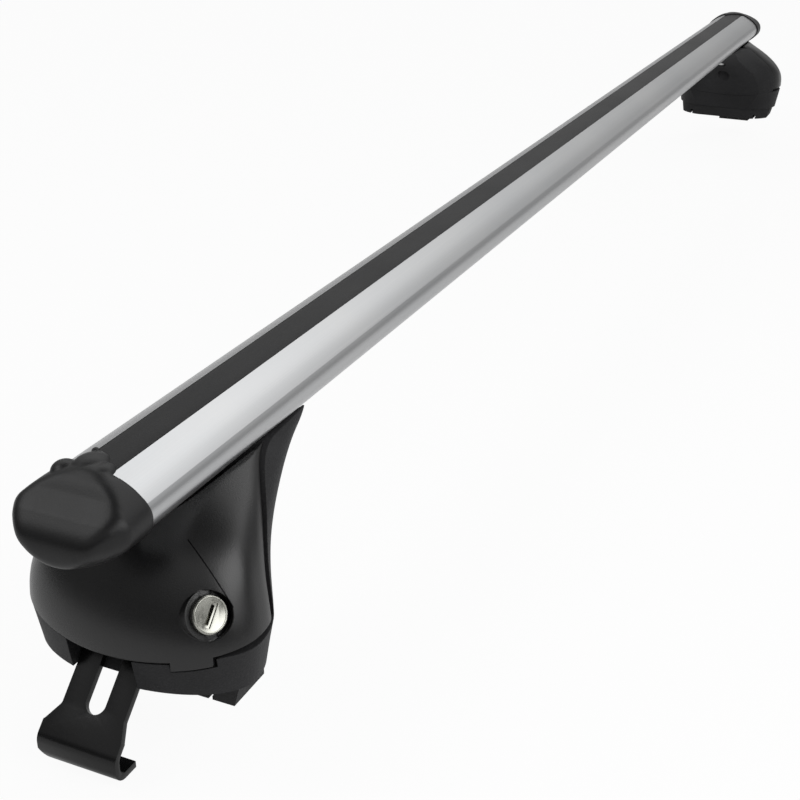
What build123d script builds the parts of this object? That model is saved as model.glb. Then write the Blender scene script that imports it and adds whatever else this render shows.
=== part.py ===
from build123d import *
from collections import namedtuple
from math import cos, radians, sin
import os

# Roof rack crossbar: a hollow aluminium bar on two clamping feet, with a rubber strip in its top track.
# Finished frame: X along the bar, Z up, origin in the middle of the bar's top line, millimetres.
# Each foot is drawn once, with x = 0 at the bar's end, running inward, and z = 0 at the bar's underside.

# Bar extrusion
BAR_LENGTH = 1200.0
BAR_WIDTH = 54.0
BAR_HEIGHT = 33.2
BAR_NOSE_RADIUS = 8.5
BAR_WALL = 2.2
TRACK_LIP = 3.0
TRACK_DEPTH = 7.0
TRACK_WIDTH = 22.0
TOP_MOUTH = 11.0
FOOT_MOUTH = 10.0
CORE_CHAMBER_WIDTH = 22.0

# Rubber strip in the top track
STRIP_WIDTH = 17.6
STRIP_DEPTH = 2.6
STRIP_BARB = 1.2
STRIP_FIT = 0.1

# End caps
CAP_REACH = 30.0
CAP_BROW = 0.5
CAP_CHEEK = (13.0, 12.0)
CAP_MUZZLE = (25.0, 2.5)
CAP_CREASE_Z = -6.5
CAP_SHOULDER = 16.0
CAP_FACE_HALF_WIDTH = 16.5
CAP_FACE_HALF_HEIGHT = 12.5
CAP_FACE_NOSE = 8.5
CAP_CHIN_ROUND = 2.0
CAP_PROUD = 1.2
CAP_LAP = 0.6
CAP_PLUG_LENGTH = 18.0
CAP_TONGUE_LENGTH = 13.0
CAP_TONGUE_START = 5.0
CAP_TONGUE_RISE = 1.7
CAP_FIT = 0.2

# Foot outline at six heights, each a plan section of the moulded cover
Level = namedtuple("Level", "height front shoulder lock_half plain_half rear rear_half")
FOOT_LEVELS = [
    Level(6.6, 27.0, 90.0, 24.5, 25.0, 135.0, 22.0),
    Level(-3.4, 17.0, 56.0, 37.0, 34.0, 117.0, 24.0),
    Level(-15.4, 8.0, 38.0, 46.5, 46.0, 92.0, 28.0),
    Level(-31.4, -1.0, 29.5, 53.5, 56.5, 69.0, 36.0),
    Level(-49.4, -6.0, 25.0, 58.5, 57.5, 60.0, 40.0),
    Level(-58.0, -6.0, 25.0, 58.5, 57.5, 58.0, 39.0),
]
SADDLE_GAP = 0.4
COVER_SADDLE_GAP = 1.6

# Cover shell, its rear edge and its lower edge
COVER_WALL = 2.5
COVER_LIP_TOP = 1.0
COVER_EDGE_ROUND = 2.2
COVER_FOOT_ROUND = 0.8
COVER_TRAVEL = 20.0
COVER_GAP = 1.0
REAR_EDGE_X = 105.0
REAR_EDGE_Z = -54.4
REAR_EDGE_RADIUS = 62.0
PARTING_Z = -53.4
PARTING_RISE = 7.0
PARTING_REACH = 58.0
TAB_NEAR_Y = -30.0
TAB_FAR_Y = -46.0
TAB_DROP = 4.2

# Foot body
BODY_STEP = 0.4
CORE_GAP = 0.8
BASE_BOTTOM = -69.4
BASE_TAPER = 3.5
BASE_END_TAPER = 11.0
FOOT_SIDE = 90.0
FAR_FOOT_OUT = 42.0

# Rail pad
PAD_FRONT = 17.0
PAD_REAR = 55.0
PAD_HALF = 51.0
PAD_DROP = 11.0
PAD_TAPER = 3.0
PAD_INSET = 1.5
PAD_GROOVE_Y = 36.0
PAD_GROOVE_RADIUS = 1.6
PAD_GROOVE_RISE = 3.2
PAD_SLIT = 2.0

# Clamp hook: bent steel plate with a long slot
HOOK_Y = 5.0
HOOK_ANGLE = 44.0
HOOK_THICK = 3.2
HOOK_ARM_WIDTH = 32.0
HOOK_STEP_PLAIN = 6.0
HOOK_STEP_LOCK = 2.5
HOOK_FLARE = 9.0
HOOK_LIP_TRIM = 7.0
HOOK_TOP_REACH = 50.0
HOOK_FACE_X = -23.5
HOOK_BOTTOM = -105.0
HOOK_LIP_X = -9.5
HOOK_BEND_RADIUS = 5.0
HOOK_SHOULDER = -16.0
HOOK_SLOT_WIDTH = 10.0
HOOK_SLOT_LOW = -17.0
HOOK_TRAVEL = 14.0
HOOK_SIDE_GAP = 1.25
HOOK_SEAT_GAP = 0.1

# Clamp bolt, washer and captive nut
BOLT_REACH = 33.6
BOLT_RADIUS = 4.0
BOLT_HEAD_RADIUS = 6.5
BOLT_HEAD_HEIGHT = 8.0
BOLT_KEY_SIZE = 6.0
BOLT_KEY_DEPTH = 4.5
BOLT_TAIL = 20.0
WASHER_RADIUS = 9.0
WASHER_THICK = 2.0
NUT_SIZE = 13.0
NUT_THICK = 6.5
NUT_BACK = 10.0
RUN_FIT = 0.06
HOLE_FIT = 0.4

# Lock in the cover
LOCK_X = 11.0
LOCK_Y = -43.0
LOCK_Z = -31.4
LOCK_TURN = 66.0
LOCK_TILT = 25.0
LOCK_RADIUS = 8.2
LOCK_SUNK = 1.8
LOCK_LENGTH = 16.0
LOCK_CHAMFER = 0.6
LOCK_BOSS_WALL = 2.4
LOCK_BOSS_LENGTH = 12.0
LOCK_RECESS_RIM = 1.4
LOCK_TAIL_RADIUS = 4.5
LOCK_TAIL_LENGTH = 3.0
KEY_SLOT_LENGTH = 9.0
KEY_SLOT_WIDTH = 1.8
KEY_SLOT_DEPTH = 4.0
CAM_REACH = 14.0
CAM_WIDTH = 8.0
CAM_THICK = 2.0
LOCK_SCREW_RADIUS = 2.0
LOCK_SCREW_HEAD = 3.4
LOCK_SCREW_HEAD_HEIGHT = 1.8
KEEPER_GAP = 0.6
KEEPER_THICK = 4.0
KEEPER_WIDTH = 6.0
KEEPER_DROP = 10.5
KEEPER_DEPTH = 11.5

# Foot fixing: plate in the bar's lower track, two screws and washers
TRACK_PLATE_LENGTH = 52.0
TRACK_PLATE_WIDTH = 18.0
TRACK_PLATE_THICK = 5.0
SCREW_X = (70.0, 94.0)
SCREW_RADIUS = 3.0
SCREW_HEAD_RADIUS = 5.0
SCREW_HEAD_HEIGHT = 6.0
SCREW_KEY_SIZE = 5.0
SCREW_KEY_DEPTH = 3.0
SCREW_SEAT_Z = -6.0
SMALL_WASHER_RADIUS = 6.0
SMALL_WASHER_THICK = 1.6

# Values that follow from the driving dimensions
HALF_W = BAR_WIDTH / 2
HALF_H = BAR_HEIGHT / 2
FOOT_END = FOOT_LEVELS[0].rear + FOOT_SIDE
PAD_BOTTOM = BASE_BOTTOM - PAD_DROP
HOOK_ORIGIN = Vector(0, HOOK_Y, BASE_BOTTOM)
HOOK_UP = Vector(cos(radians(HOOK_ANGLE)), 0, sin(radians(HOOK_ANGLE)))
HOOK_OUT = Vector(-sin(radians(HOOK_ANGLE)), 0, cos(radians(HOOK_ANGLE)))
HOOK_PLANE = Plane(origin=HOOK_ORIGIN, x_dir=HOOK_UP, z_dir=HOOK_OUT)
LOCK_OUT = Vector(
    -cos(radians(LOCK_TURN)) * cos(radians(LOCK_TILT)),
    -sin(radians(LOCK_TURN)) * cos(radians(LOCK_TILT)),
    sin(radians(LOCK_TILT)),
)
LOCK_SIDE = Vector(sin(radians(LOCK_TURN)), -cos(radians(LOCK_TURN)), 0)
LOCK_PLANE = Plane(origin=(LOCK_X, LOCK_Y, LOCK_Z), x_dir=LOCK_SIDE, z_dir=LOCK_OUT)


def lens(half_width, half_height, nose):
    """Bar outline: two crown arcs joined by tangent nose arcs."""
    centre = half_width - nose
    crown = (centre**2 / (half_height - nose) + nose + half_height) / 2
    lean = Vector(centre, crown - half_height).normalized()
    side = Vector(0, half_height - crown) + lean * crown
    edges = [
        ThreePointArc((-side.X, side.Y), (0, half_height), (side.X, side.Y)),
        ThreePointArc((side.X, side.Y), (half_width, 0), (side.X, -side.Y)),
        ThreePointArc((side.X, -side.Y), (0, -half_height), (-side.X, -side.Y)),
        ThreePointArc((-side.X, -side.Y), (-half_width, 0), (-side.X, side.Y)),
    ]
    return make_face(edges)


def bar_lens(grow):
    """Bar outline grown all round by a distance."""
    return lens(HALF_W + grow, HALF_H + grow, BAR_NOSE_RADIUS + grow)


def rectangle(width, low, high):
    """Rectangle centred across the bar, between two heights."""
    return Pos(0, (low + high) / 2) * Rectangle(width, high - low)


def along_bar(face, start, length):
    """Extrude a section of the bar, drawn about its centre, along X."""
    return extrude(Plane.YZ.offset(start) * face, length)


def bar_section():
    """Hollow section with a strip recess and T track on top and a foot track below."""
    strip_floor = HALF_H - STRIP_DEPTH
    top_lip = strip_floor - TRACK_LIP
    top_floor = top_lip - TRACK_DEPTH
    foot_lip = -HALF_H + TRACK_LIP
    foot_floor = foot_lip + TRACK_DEPTH
    column = TRACK_WIDTH + 2 * BAR_WALL
    section = bar_lens(0)
    section -= bar_lens(-BAR_WALL) - rectangle(column, -HALF_H, HALF_H)
    section -= rectangle(CORE_CHAMBER_WIDTH, foot_floor + BAR_WALL, top_floor - BAR_WALL)
    section -= rectangle(STRIP_WIDTH, strip_floor, HALF_H)
    section -= rectangle(TOP_MOUTH, top_lip, HALF_H)
    section -= rectangle(TRACK_WIDTH, top_floor, top_lip)
    section -= rectangle(FOOT_MOUTH, -HALF_H, foot_lip)
    section -= rectangle(TRACK_WIDTH, foot_lip, foot_floor)
    return section


def bar_extrusion():
    return along_bar(bar_section(), 0, BAR_LENGTH)


def top_strip():
    """Strip flush with the crown, with a barbed foot under the track lips."""
    strip_floor = HALF_H - STRIP_DEPTH + STRIP_FIT
    lip = HALF_H - STRIP_DEPTH - TRACK_LIP
    section = bar_lens(0) & rectangle(STRIP_WIDTH - 2 * STRIP_FIT, strip_floor, HALF_H)
    section += rectangle(TOP_MOUTH - 2 * STRIP_FIT, lip - STRIP_BARB, strip_floor)
    section += rectangle(TOP_MOUTH + 2 * STRIP_BARB, lip - 2 * STRIP_BARB, lip - STRIP_FIT)
    start = CAP_TONGUE_LENGTH + CAP_FIT
    return along_bar(section, start, BAR_LENGTH - 2 * start)


def above_cap_face():
    """Everything in front of the cap's bowed upper face."""
    top = HALF_H + CAP_PROUD
    ahead = 2 * CAP_REACH
    brow = (-CAP_BROW, top)
    crease = (-CAP_REACH, CAP_CREASE_Z)
    edges = [
        Spline(
            brow,
            (-CAP_CHEEK[0], CAP_CHEEK[1]),
            (-CAP_MUZZLE[0], CAP_MUZZLE[1]),
            crease,
            tangents=((-1, 0), (0, -1)),
        ),
        Polyline(crease, (-ahead, CAP_CREASE_Z), (-ahead, 2 * top), (-CAP_BROW, 2 * top), brow),
    ]
    return side_extrusion(make_face(edges))


def end_cap():
    """Blunt cap with a bowed upper face, two plugs in the side chambers and a tongue in the track."""
    outline = bar_lens(CAP_PROUD)
    muzzle = lens(CAP_FACE_HALF_WIDTH, CAP_FACE_HALF_HEIGHT, CAP_FACE_NOSE)
    cap = along_bar(outline, -CAP_SHOULDER, CAP_SHOULDER + CAP_LAP)
    cap += loft(
        [Plane.YZ.offset(-CAP_SHOULDER) * outline, Plane.YZ.offset(-CAP_REACH) * muzzle], ruled=True
    )
    cap = fillet(cap.edges().group_by(Axis.X)[0], CAP_CHIN_ROUND)
    cap -= above_cap_face()
    cap -= along_bar(bar_lens(CAP_FIT), 0, CAP_LAP)
    chamber = bar_lens(-BAR_WALL - CAP_FIT) - rectangle(
        TRACK_WIDTH + 2 * (BAR_WALL + CAP_FIT), -HALF_H, HALF_H
    )
    cap += along_bar(chamber, 0, CAP_PLUG_LENGTH)
    tongue = rectangle(STRIP_WIDTH - 2 * CAP_FIT, HALF_H - STRIP_DEPTH + CAP_FIT, HALF_H)
    tongue &= bar_lens(0)
    cap += along_bar(tongue, 0, CAP_TONGUE_LENGTH)
    bead = rectangle(STRIP_WIDTH, HALF_H - STRIP_DEPTH + CAP_FIT, HALF_H + CAP_TONGUE_RISE)
    bead &= lens(HALF_W, HALF_H + CAP_TONGUE_RISE, BAR_NOSE_RADIUS)
    cap += along_bar(bead, -CAP_TONGUE_START, CAP_TONGUE_START + CAP_TONGUE_LENGTH)
    return cap


def plan_section(level, inset):
    """Plan of the foot at one height: round outer front, tapering flanks, flat inner end."""
    front = level.front + inset
    lock = level.lock_half - inset
    plain = level.plain_half - inset
    rear = level.rear - inset
    end = level.rear_half - inset
    reach = level.shoulder - front
    middle = (level.shoulder, 0)
    edges = [
        EllipticalCenterArc(middle, reach, lock, start_angle=180, arc_size=90),
        TangentArc((level.shoulder, -lock), (rear, -end), tangent=(1, 0)),
        Line((rear, -end), (rear, end)),
        TangentArc((level.shoulder, plain), (rear, end), tangent=(1, 0)),
        EllipticalCenterArc(middle, reach, plain, start_angle=90, arc_size=90),
    ]
    return Pos(0, 0, level.height) * make_face(edges)


def foot_form(inset):
    """Solid of the whole cover outline, drawn in by an inset."""
    return loft([plan_section(level, inset) for level in FOOT_LEVELS])


def inner_form(inset):
    """Plainer form for the hidden inner surfaces, straight between the levels."""
    return loft([plan_section(level, inset) for level in FOOT_LEVELS], ruled=True)


def side_extrusion(face):
    """Extrude a profile drawn in X and Z right across the foot."""
    return extrude(Plane.XZ * face, FOOT_SIDE, both=True)


def bar_space(gap):
    """Room for the bar over the whole foot."""
    section = Pos(0, HALF_H) * bar_lens(gap)
    return extrude(Plane.YZ.offset(-FOOT_SIDE) * section, FOOT_END + FOOT_SIDE)


def below_parting(drop):
    """Everything under the bowed parting line between cover and base."""
    low = PARTING_Z - drop
    high = low + PARTING_RISE
    floor = BASE_BOTTOM - FOOT_SIDE
    edges = [
        ThreePointArc((-PARTING_REACH, high), (0, low), (PARTING_REACH, high)),
        Polyline(
            (PARTING_REACH, high),
            (FOOT_SIDE, high),
            (FOOT_SIDE, floor),
            (-FOOT_SIDE, floor),
            (-FOOT_SIDE, high),
            (-PARTING_REACH, high),
        ),
    ]
    return extrude(Plane.YZ.offset(-FOOT_SIDE) * make_face(edges), FOOT_END + FOOT_SIDE)


def behind_rear_edge(draw_in):
    """Rounded space behind the cover's rear edge, where the body shows."""
    disc = Pos(REAR_EDGE_X, REAR_EDGE_Z) * Circle(REAR_EDGE_RADIUS - draw_in)
    tail = Pos(REAR_EDGE_X + FOOT_SIDE, REAR_EDGE_Z) * Rectangle(
        2 * FOOT_SIDE, 2 * (REAR_EDGE_RADIUS - draw_in)
    )
    return side_extrusion(disc + tail)


def tab_block(gap):
    """Span of the catch tab below the cover's lower edge."""
    middle = (TAB_NEAR_Y + TAB_FAR_Y) / 2
    width = TAB_NEAR_Y - TAB_FAR_Y + 2 * gap
    reach = FOOT_LEVELS[-1].shoulder
    slab = Pos(0, middle, PARTING_Z) * Box(2 * reach, width, FOOT_SIDE)
    return (slab & below_parting(-COVER_WALL)) - below_parting(TAB_DROP + gap)


def lock_cylinder(radius, start, length):
    """Cylinder on the lock's axis, from a depth inward, growing outward."""
    return LOCK_PLANE.offset(start) * extrude(Circle(radius), length)


def below(height):
    """Everything under a level."""
    return Pos(0, 0, height - FOOT_SIDE) * Box(4 * FOOT_SIDE, 4 * FOOT_SIDE, 2 * FOOT_SIDE)


def cover_form():
    """Outside of the cover down to its tab, with the rear edge rounded over on both flanks."""
    form = foot_form(0) - behind_rear_edge(0)
    rear = form.faces().filter_by(GeomType.CYLINDER).sort_by(Axis.X)[-1]
    flanks = rear.edges().filter_by(lambda edge: abs(edge.center().Y) > FOOT_LEVELS[0].rear_half)
    return fillet(flanks, COVER_EDGE_ROUND)


def foot_cover():
    """Moulded shell with the lock boss, a catch tab and a lip against the bar."""
    outer = cover_form()
    cavity = inner_form(COVER_WALL) & below(COVER_LIP_TOP)
    tab = (outer - cavity) & tab_block(0)
    upper = outer - below_parting(0)
    underside = upper.faces().filter_by(GeomType.CYLINDER).sort_by(Axis.Z)[0]
    upper = fillet(underside.edges().sort_by(Axis.X)[:2], COVER_FOOT_ROUND)
    shell = upper - cavity + tab
    boss = lock_cylinder(LOCK_RADIUS + LOCK_BOSS_WALL, -LOCK_BOSS_LENGTH, LOCK_BOSS_LENGTH)
    boss &= inner_form(COVER_WALL / 2)
    shell += boss
    shell -= lock_cylinder(LOCK_RADIUS + RUN_FIT, -FOOT_SIDE / 2, FOOT_SIDE)
    shell -= lock_cylinder(LOCK_RADIUS + LOCK_RECESS_RIM, -LOCK_SUNK, FOOT_SIDE / 2)
    shell -= bar_space(COVER_SADDLE_GAP)
    return shell.solids().sort_by(SortBy.VOLUME)[-1]


def behind_ramp():
    """Everything behind the sloping face that the hook slides on."""
    foot = HOOK_ORIGIN - HOOK_OUT * (HOOK_THICK + HOOK_SEAT_GAP)
    low = foot - HOOK_UP * FOOT_SIDE
    high = foot + HOOK_UP * 2 * FOOT_SIDE
    face = Polyline(
        (low.X, low.Z),
        (high.X, high.Z),
        (FOOT_END + FOOT_SIDE, high.Z),
        (FOOT_END + FOOT_SIDE, low.Z),
        close=True,
    )
    return side_extrusion(make_face(face))


def hook_channel():
    """Way through the base for the hook's arms, open to the front."""
    width = HOOK_ARM_WIDTH + 2 * HOOK_SIDE_GAP
    span = Pos(0, HOOK_Y, BASE_BOTTOM) * Box(4 * FOOT_SIDE, width, 4 * FOOT_SIDE)
    return span - behind_ramp()


def base_level():
    """Plan of the base's underside."""
    top = FOOT_LEVELS[-2]
    return Level(
        BASE_BOTTOM,
        top.front + BASE_TAPER,
        top.shoulder,
        top.lock_half - BASE_TAPER,
        top.plain_half - BASE_TAPER - BODY_STEP,
        top.rear - BASE_TAPER,
        top.rear_half - BASE_END_TAPER,
    )


def foot_base():
    """Base below the parting line, tapering to its underside."""
    base = loft([plan_section(FOOT_LEVELS[-2], BODY_STEP), plan_section(base_level(), 0)])
    base &= below_parting(COVER_GAP)
    base -= tab_block(COVER_GAP) - inner_form(COVER_WALL + CORE_GAP)
    return base


def keeper():
    """Low post on the base; the lock's cam turns down behind it."""
    post = Pos(0, -KEEPER_DROP - KEEPER_DEPTH / 2, KEEPER_GAP + KEEPER_THICK / 2) * Box(
        KEEPER_WIDTH, KEEPER_DEPTH, KEEPER_THICK
    )
    return cam_plane() * post


def cam_room():
    """Space that the cam sweeps through, cut from the base's upper side."""
    room = extrude(Circle(CAM_REACH + KEEPER_GAP), CAM_THICK + 2 * KEEPER_GAP)
    return cam_plane().offset(-CAM_THICK - KEEPER_GAP) * room


def cam_plane():
    """Plane of the cam's outer face, at the inner end of the lock."""
    return LOCK_PLANE.offset(-LOCK_SUNK - LOCK_LENGTH - LOCK_TAIL_LENGTH + CAM_THICK)


def bolt_plane():
    """Plane on the hook's outer face, at the clamp bolt's axis."""
    origin = HOOK_ORIGIN + HOOK_UP * BOLT_REACH
    return Plane(origin=origin, x_dir=HOOK_UP, z_dir=HOOK_OUT)


def nut_space(gap):
    """Pocket for the captive nut, open at the base's underside."""
    low = -(HOOK_THICK + NUT_BACK + NUT_THICK + gap)
    height = NUT_THICK + 2 * gap
    side = NUT_SIZE + 2 * gap
    tail = BOLT_REACH
    return bolt_plane() * (
        Pos(-tail / 2, 0, low + height / 2) * Box(side + tail, side, height)
    )


def foot_body():
    """Moulded body: base, sloping hook ramp and a saddle that carries the bar."""
    moving_room = COVER_WALL + CORE_GAP
    inner = inner_form(moving_room)
    core = inner & (Pos(-COVER_TRAVEL, 0, 0) * inner) & behind_ramp()
    core &= below(COVER_LIP_TOP - CORE_GAP)
    tower = (foot_form(BODY_STEP) & behind_rear_edge(COVER_GAP)) - below_parting(COVER_GAP)
    body = foot_base() - cam_room() + core + tower + keeper()
    body -= bar_space(SADDLE_GAP)
    body -= hook_channel()
    hole = extrude(Circle(BOLT_RADIUS + HOLE_FIT), FOOT_SIDE / 2, both=True)
    deep = HOOK_THICK + BOLT_TAIL + 2 * HOLE_FIT
    body -= bolt_plane() * (hole & Pos(0, 0, FOOT_SIDE / 2 - deep) * Box(FOOT_SIDE, FOOT_SIDE, FOOT_SIDE))
    body -= nut_space(HOLE_FIT / 2)
    for x in SCREW_X:
        body -= Pos(x, 0, 0) * Cylinder(SCREW_RADIUS + HOLE_FIT, FOOT_SIDE)
        access = Cylinder(SMALL_WASHER_RADIUS + HOLE_FIT, FOOT_SIDE)
        body -= Pos(x, 0, SCREW_SEAT_Z - FOOT_SIDE / 2) * access
    return body.solids().sort_by(SortBy.VOLUME)[-1]


def rail_pad():
    """Rubber pad under the base with two keyhole grooves across it."""
    middle = (PAD_FRONT + PAD_REAR) / 2
    length = PAD_REAR - PAD_FRONT
    top = Pos(middle, 0, BASE_BOTTOM) * Rectangle(length, 2 * PAD_HALF)
    bottom = Pos(middle, 0, PAD_BOTTOM) * Rectangle(length, 2 * (PAD_HALF - PAD_TAPER))
    pad = loft([top, bottom])
    pad &= extrude(plan_section(base_level(), PAD_INSET), -PAD_DROP)
    for y in (-PAD_GROOVE_Y, PAD_GROOVE_Y):
        eye = Pos(y, PAD_BOTTOM + PAD_GROOVE_RISE) * Circle(PAD_GROOVE_RADIUS)
        slit = Pos(y, PAD_BOTTOM) * Rectangle(PAD_SLIT, 2 * PAD_GROOVE_RISE)
        pad -= extrude(Plane.YZ * (eye + slit), FOOT_SIDE)
    return pad


def clamp_hook():
    """Bent plate: slotted arm, rounded shoulders, drop and inward lip."""
    half = HOOK_THICK / 2
    arm = HOOK_ORIGIN - HOOK_OUT * half
    top = arm + HOOK_UP * HOOK_TOP_REACH
    face = HOOK_FACE_X + half
    knee = arm + HOOK_UP * ((face - arm.X) / HOOK_UP.X)
    floor = HOOK_BOTTOM + half
    path = FilletPolyline(
        (top.X, top.Z),
        (knee.X, knee.Z),
        (face, floor),
        (HOOK_LIP_X, floor),
        radius=HOOK_BEND_RADIUS,
    )
    plain_side = HOOK_ARM_WIDTH / 2 + HOOK_STEP_PLAIN
    lock_side = HOOK_ARM_WIDTH / 2 + HOOK_STEP_LOCK
    profile = trace(path, HOOK_THICK)
    blank = extrude(Plane.XZ.offset(-HOOK_Y) * profile, -plain_side)
    blank += extrude(Plane.XZ.offset(-HOOK_Y) * profile, lock_side)
    beyond = 2 * HOOK_TOP_REACH
    for side, edge, step in ((1, plain_side, HOOK_STEP_PLAIN), (-1, -lock_side, HOOK_STEP_LOCK)):
        neck = edge - side * step
        flare = make_face(
            FilletPolyline(
                (beyond, neck),
                (HOOK_SHOULDER, neck),
                (HOOK_SHOULDER - HOOK_FLARE, edge),
                (HOOK_SHOULDER - HOOK_FLARE, edge + side * step),
                (beyond, edge + side * step),
                radius=step / 2,
                close=True,
            )
        )
        blank -= HOOK_PLANE * extrude(flare, 2 * HOOK_THICK, both=True)
    corner = Polyline(
        (HOOK_Y + plain_side, HOOK_BOTTOM + HOOK_LIP_TRIM),
        (HOOK_Y + plain_side, HOOK_BOTTOM - HOOK_LIP_TRIM),
        (HOOK_Y + plain_side - 2 * HOOK_LIP_TRIM, HOOK_BOTTOM - HOOK_LIP_TRIM),
        close=True,
    )
    blank -= extrude(Plane.YZ * make_face(corner), FOOT_SIDE, both=True)
    slot_low = HOOK_SLOT_LOW + HOOK_SLOT_WIDTH / 2
    slot_high = BOLT_REACH
    slot = Pos((slot_low + slot_high) / 2, 0) * SlotCenterToCenter(slot_high - slot_low, HOOK_SLOT_WIDTH)
    blank -= HOOK_PLANE * extrude(slot, 2 * HOOK_THICK, both=True)
    return blank


def hook_bolt():
    """Socket-head clamp bolt."""
    seat = HOOK_SEAT_GAP + WASHER_THICK
    head = Pos(0, 0, seat) * extrude(Circle(BOLT_HEAD_RADIUS), BOLT_HEAD_HEIGHT)
    head = chamfer(head.edges().group_by(Axis.Z)[-1], BOLT_HEAD_HEIGHT / 10)
    key = Pos(0, 0, seat + BOLT_HEAD_HEIGHT - BOLT_KEY_DEPTH) * extrude(
        RegularPolygon(BOLT_KEY_SIZE / 2, 6, major_radius=False), BOLT_KEY_DEPTH
    )
    tail = HOOK_THICK + BOLT_TAIL
    shank = Pos(0, 0, -tail) * extrude(Circle(BOLT_RADIUS), tail + seat)
    return bolt_plane() * (head + shank - key)


def hook_washer():
    ring = Circle(WASHER_RADIUS) - Circle(BOLT_RADIUS)
    return bolt_plane().offset(HOOK_SEAT_GAP) * extrude(ring, WASHER_THICK)


def hook_nut():
    """Square nut held in the body's pocket."""
    face = Rectangle(NUT_SIZE, NUT_SIZE) - Circle(BOLT_RADIUS + RUN_FIT)
    return bolt_plane().offset(-HOOK_THICK - NUT_BACK - NUT_THICK) * extrude(face, NUT_THICK)


def lock_plug():
    """Key barrel with a narrower tail that carries the cam."""
    barrel = extrude(Circle(LOCK_RADIUS), LOCK_LENGTH)
    barrel = chamfer(barrel.edges().group_by(Axis.Z)[-1], LOCK_CHAMFER)
    tail = Pos(0, 0, -LOCK_TAIL_LENGTH) * extrude(Circle(LOCK_TAIL_RADIUS), LOCK_TAIL_LENGTH)
    slot = Pos(0, 0, LOCK_LENGTH - KEY_SLOT_DEPTH) * extrude(
        Rectangle(KEY_SLOT_WIDTH, KEY_SLOT_LENGTH), KEY_SLOT_DEPTH
    )
    hole = Pos(0, 0, -LOCK_TAIL_LENGTH) * extrude(Circle(LOCK_SCREW_RADIUS), 2 * LOCK_TAIL_LENGTH)
    return LOCK_PLANE.offset(-LOCK_SUNK - LOCK_LENGTH) * (barrel + tail - slot - hole)


def lock_cam():
    """Lever on the lock's tail; it points forward when unlocked."""
    arm = Pos(-CAM_REACH / 2, 0) * Rectangle(CAM_REACH, CAM_WIDTH)
    arm += Circle(LOCK_TAIL_RADIUS + CAM_THICK)
    arm -= Circle(LOCK_TAIL_RADIUS)
    return cam_plane().offset(-CAM_THICK) * extrude(arm, CAM_THICK)


def lock_screw():
    """Pan screw that holds the cam on the lock's tail."""
    end = -LOCK_SUNK - LOCK_LENGTH - LOCK_TAIL_LENGTH
    head = lock_cylinder(LOCK_SCREW_HEAD + CAM_THICK, end - LOCK_SCREW_HEAD_HEIGHT, LOCK_SCREW_HEAD_HEIGHT)
    shank = lock_cylinder(LOCK_SCREW_RADIUS, end, 2 * LOCK_TAIL_LENGTH)
    return head + shank


def track_plate():
    """Threaded plate that runs in the bar's lower track."""
    middle = sum(SCREW_X) / len(SCREW_X)
    low = TRACK_LIP + HOOK_SEAT_GAP
    plate = Pos(middle, 0, low + TRACK_PLATE_THICK / 2) * Box(
        TRACK_PLATE_LENGTH, TRACK_PLATE_WIDTH, TRACK_PLATE_THICK
    )
    plate = fillet(plate.edges().filter_by(Axis.Z), TRACK_PLATE_THICK / 2)
    for x in SCREW_X:
        plate -= Pos(x, 0, low) * Cylinder(SCREW_RADIUS, 4 * TRACK_PLATE_THICK)
    return plate


def at_screws(piece):
    """One copy of a piece at each foot screw, as separate solids."""
    return Compound([Pos(x, 0, 0) * piece for x in SCREW_X])


def track_screws():
    """Socket-head screws from below, through the body into the track plate."""
    head_top = SCREW_SEAT_Z - SMALL_WASHER_THICK
    head = Pos(0, 0, head_top - SCREW_HEAD_HEIGHT) * extrude(Circle(SCREW_HEAD_RADIUS), SCREW_HEAD_HEIGHT)
    key = Pos(0, 0, head_top - SCREW_HEAD_HEIGHT) * extrude(
        RegularPolygon(SCREW_KEY_SIZE / 2, 6, major_radius=False), SCREW_KEY_DEPTH
    )
    top = TRACK_LIP + HOOK_SEAT_GAP + TRACK_PLATE_THICK
    shank = Pos(0, 0, head_top) * extrude(Circle(SCREW_RADIUS), top - head_top)
    return at_screws((head + shank - key).solid())


def track_washers():
    ring = Circle(SMALL_WASHER_RADIUS) - Circle(SCREW_RADIUS)
    washer = Pos(0, 0, SCREW_SEAT_Z - SMALL_WASHER_THICK) * extrude(ring, SMALL_WASHER_THICK)
    return at_screws(washer.solid())


def save(shape, name):
    export_step(shape, f"parts/{name}.step")


os.makedirs("parts", exist_ok=True)

# The bar and its strip, lowered so that the crown is at z = 0 and the middle at x = 0
bar_place = Pos(-BAR_LENGTH / 2, 0, -HALF_H)
save(bar_place * bar_extrusion(), "bar_extrusion")
save(bar_place * top_strip(), "top_strip")

# The caps are a handed pair, and the far foot is the near one turned half round
turned = Rot(0, 0, 180)
cap = bar_place * end_cap()
save(cap, "near_end_cap")
save(mirror(cap, about=Plane.YZ), "far_end_cap")

foot_place = Pos(-BAR_LENGTH / 2, 0, -BAR_HEIGHT)
far_place = turned * foot_place * Pos(-FAR_FOOT_OUT, 0, 0)
foot_pieces = {
    "foot_body": foot_body(),
    "foot_cover": foot_cover(),
    "rail_pad": rail_pad(),
    "clamp_hook": clamp_hook(),
    "hook_bolt": hook_bolt(),
    "hook_washer": hook_washer(),
    "hook_nut": hook_nut(),
    "lock_plug": lock_plug(),
    "lock_cam": lock_cam(),
    "lock_screw": lock_screw(),
    "track_plate": track_plate(),
    "track_screws": track_screws(),
    "track_washers": track_washers(),
}
for name, piece in foot_pieces.items():
    drawn_in = HOOK_TRAVEL if name == "clamp_hook" else 0
    save(foot_place * piece, f"near_{name}")
    save(far_place * Pos(HOOK_UP * drawn_in) * piece, f"far_{name}")
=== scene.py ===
import math
from contextlib import contextmanager

import bpy
import numpy as np
from mathutils import Matrix, Vector


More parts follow.
